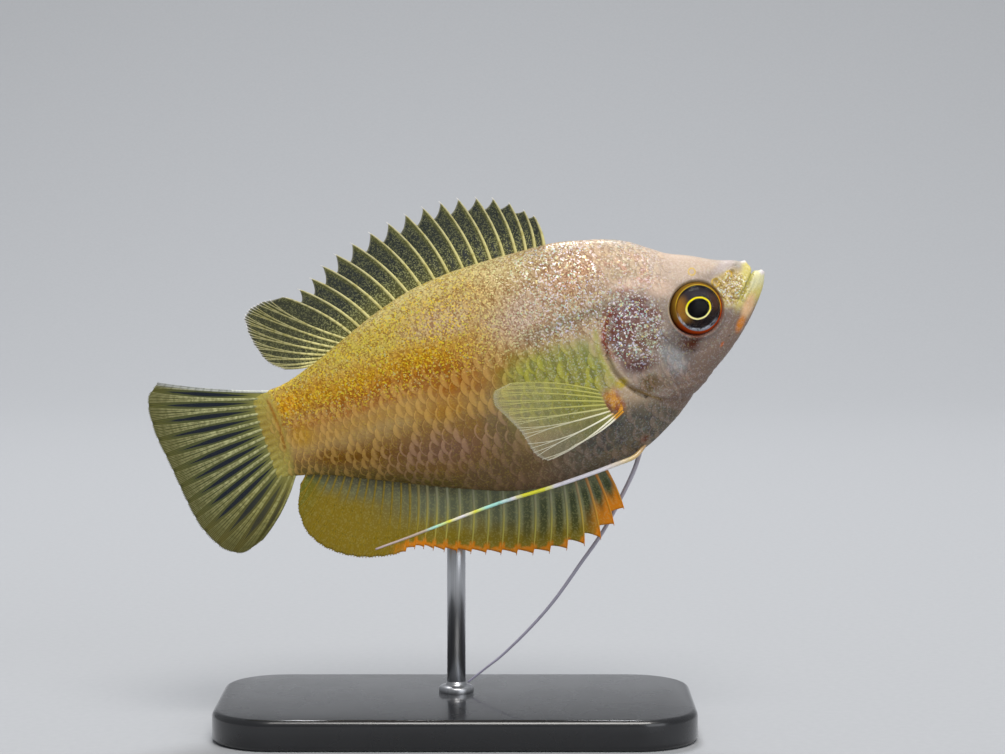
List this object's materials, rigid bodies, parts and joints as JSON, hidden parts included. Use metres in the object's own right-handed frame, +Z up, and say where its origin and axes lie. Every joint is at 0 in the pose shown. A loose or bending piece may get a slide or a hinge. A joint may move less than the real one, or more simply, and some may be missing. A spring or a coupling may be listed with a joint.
{
  "type": "honey dwarf gourami model",
  "caption": "Still life-size model of a small, deep-bodied labyrinth fish with spiny fins and thread-like belly feelers, held head-up on a flat display stand.",
  "frame": {"origin": "centre of the underside of the stand's base, midway between the tip of the lower jaw and the edge of the tail fin", "axes": "+Z up, +X the way the fish faces, +Y to the fish's left"},
  "size_m": [0.0592, 0.024, 0.0513],
  "materials": {
    "skin": "scaled skin, gold and pearl with a satin sheen",
    "gill_cover": "scaled plate, maroon and silver with a wet sheen",
    "eye": "clear glossy cornea over a dark iris with a gold ring",
    "fin": "thin speckled membrane over pale rays",
    "feeler": "smooth pearly thread",
    "stand_base": "satin black acrylic",
    "stand_rod": "fine brushed"
  },
  "bodies": {
    "root": {"head": "skin", "lower_jaw": "skin", "trunk": "skin", "tail_stalk": "skin", "gill_cover_right": "gill_cover", "gill_cover_left": "gill_cover", "eye_right": "eye", "eye_left": "eye", "dorsal_fin": "fin", "anal_fin": "fin", "tail_fin": "fin", "pectoral_fin_right": "fin", "pectoral_fin_left": "fin", "feeler_right": "feeler", "feeler_left": "feeler", "stand_base": "stand_base", "stand_rod": "stand_rod"}
  },
  "joints": []
}
